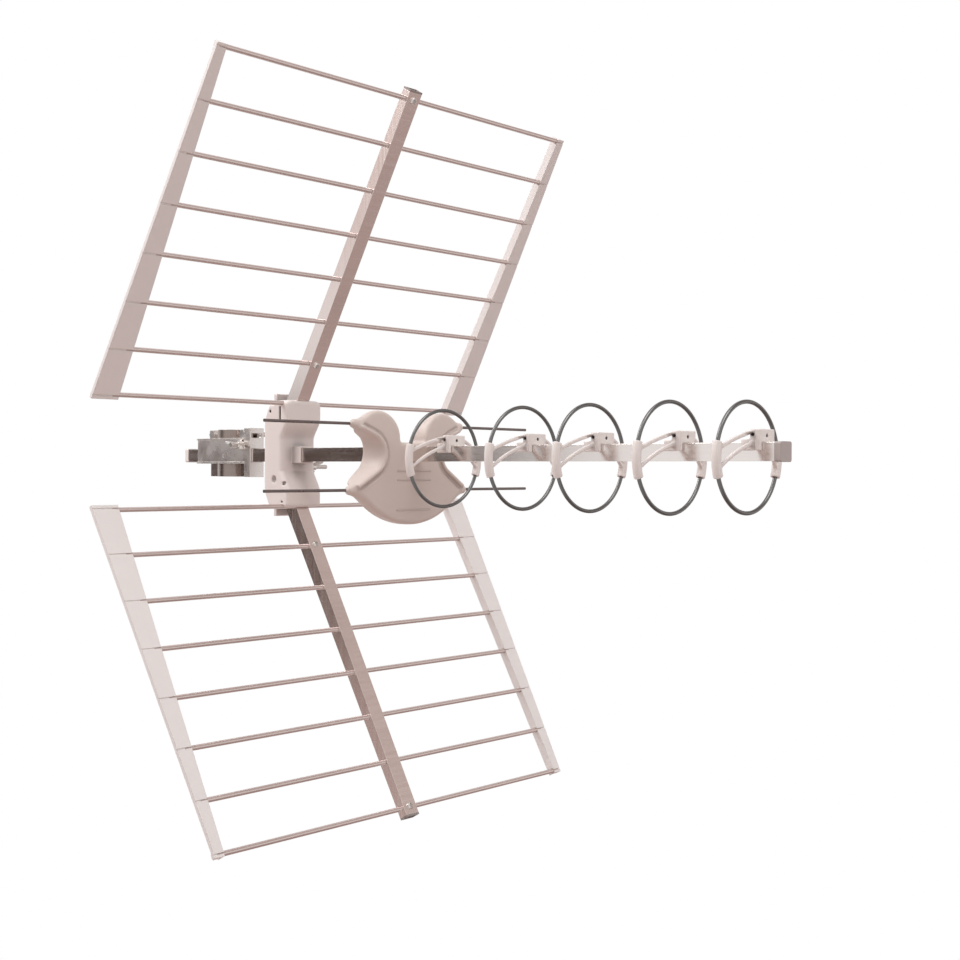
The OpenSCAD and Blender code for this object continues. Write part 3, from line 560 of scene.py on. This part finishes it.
lamp("key", (-1.2, -1.5, 2.0), (0.3, 0, 0), 1.6, 52)
lamp("top", (1.5, -0.3, 2.6), (0.3, 0, -0.2), 1.4, 28)
lamp("fill", (2.4, -0.6, 0.4), (0.3, 0, 0), 1.2, 2.5)

white = (1, 1, 1, 1)


def band_tones(nt, bands, fade):
    """Colour by height through the bands, fading to white between the two x of fade."""
    geometry = nt.nodes.new("ShaderNodeNewGeometry")
    split = nt.nodes.new("ShaderNodeSeparateXYZ")
    nt.links.new(geometry.outputs["Position"], split.inputs[0])
    low, high = bands[0][0], bands[-1][0]
    tones = nt.nodes.new("ShaderNodeValToRGB")
    for k, (height, tone) in enumerate(bands):
        at = (height - low) / (high - low)
        stop = tones.color_ramp.elements[k] if k < 2 else tones.color_ramp.elements.new(at)
        stop.position = at
        stop.color = tone
    nt.links.new(ramp(nt, split.outputs["Z"], 0, 1, low, high), tones.inputs["Fac"])
    mix = nt.nodes.new("ShaderNodeMix")
    mix.data_type = "RGBA"
    nt.links.new(ramp(nt, split.outputs["X"], 0, 1, *fade), mix.inputs["Factor"])
    nt.links.new(tones.outputs["Color"], mix.inputs["A"])
    mix.inputs["B"].default_value = white
    return mix.outputs["Result"]


def card(name, place, aim, size, colour=white, bands=(), fade=None):
    """A studio card that shows only in reflections, so that metal has light and dark to mirror.
    With bands, (height, colour) up the card, it has these instead of the one colour."""
    bm = bmesh.new()
    bmesh.ops.create_grid(bm, x_segments=1, y_segments=1, size=0.5)
    mesh = bpy.data.meshes.new(name)
    bm.to_mesh(mesh)
    bm.free()
    m = bpy.data.materials.new(name)
    m.use_nodes = True
    nt = m.node_tree
    nt.nodes.remove(nt.nodes["Principled BSDF"])
    glow = nt.nodes.new("ShaderNodeEmission")
    glow.inputs["Color"].default_value = colour
    nt.links.new(glow.outputs[0], nt.nodes["Material Output"].inputs[0])
    if bands:
        nt.links.new(band_tones(nt, bands, fade), glow.inputs["Color"])
    mesh.materials.append(m)
    obj = bpy.data.objects.new(name, mesh)
    obj.scale = (size[0], size[1], 1)
    obj.visible_camera = False
    obj.visible_diffuse = False
    obj.visible_transmission = False
    obj.visible_shadow = False
    put(obj, place, aim, "Z")


card("card_side", (-1.4, -1.35, 0), (-1.4, 0, 0), (1.9, 2.6), fade=(-0.95, -0.45), bands=(
    (-1.2, linear(196, 176, 170)),
    (-0.62, linear(178, 156, 150)),
    (-0.36, linear(112, 96, 90)),
    (-0.16, linear(84, 66, 60)),
    (0.1, linear(74, 58, 52)),
    (0.17, white),
    (0.42, white),
    (0.62, linear(226, 211, 207)),
    (1.2, linear(224, 209, 205)),
))
card("card_low", (1.6, 1.4, -1.3), (1.6, 1.4, 0), (4.0, 3.6), linear(188, 170, 165))
card("card_high", (1.7, 2.1, 2.0), (0.3, 0, 0), (2.6, 2.6), linear(204, 191, 186))


# ---- Camera as the photograph has it

cam_at = (1.2994, -0.9271, -0.0152)
yaw, pitch, roll = math.radians(43.79), math.radians(-0.46), math.radians(0.28)
forward = Vector((-math.sin(yaw) * math.cos(pitch), math.cos(yaw) * math.cos(pitch),
                  math.sin(pitch)))
level_right = Vector((math.cos(yaw), math.sin(yaw), 0))
level_up = level_right.cross(forward)
right = math.cos(roll) * level_right + math.sin(roll) * level_up
up = -math.sin(roll) * level_right + math.cos(roll) * level_up
cam_data = bpy.data.cameras.new("camera")
cam_data.lens = 48.71
cam_data.sensor_width = 36
cam_data.clip_start = 0.01
camera = bpy.data.objects.new("camera", cam_data)
camera.matrix_world = Matrix((*zip(right, up, -forward, cam_at), (0, 0, 0, 1)))
scene.collection.objects.link(camera)
scene.camera = camera
scene.view_settings.view_transform = "Standard"
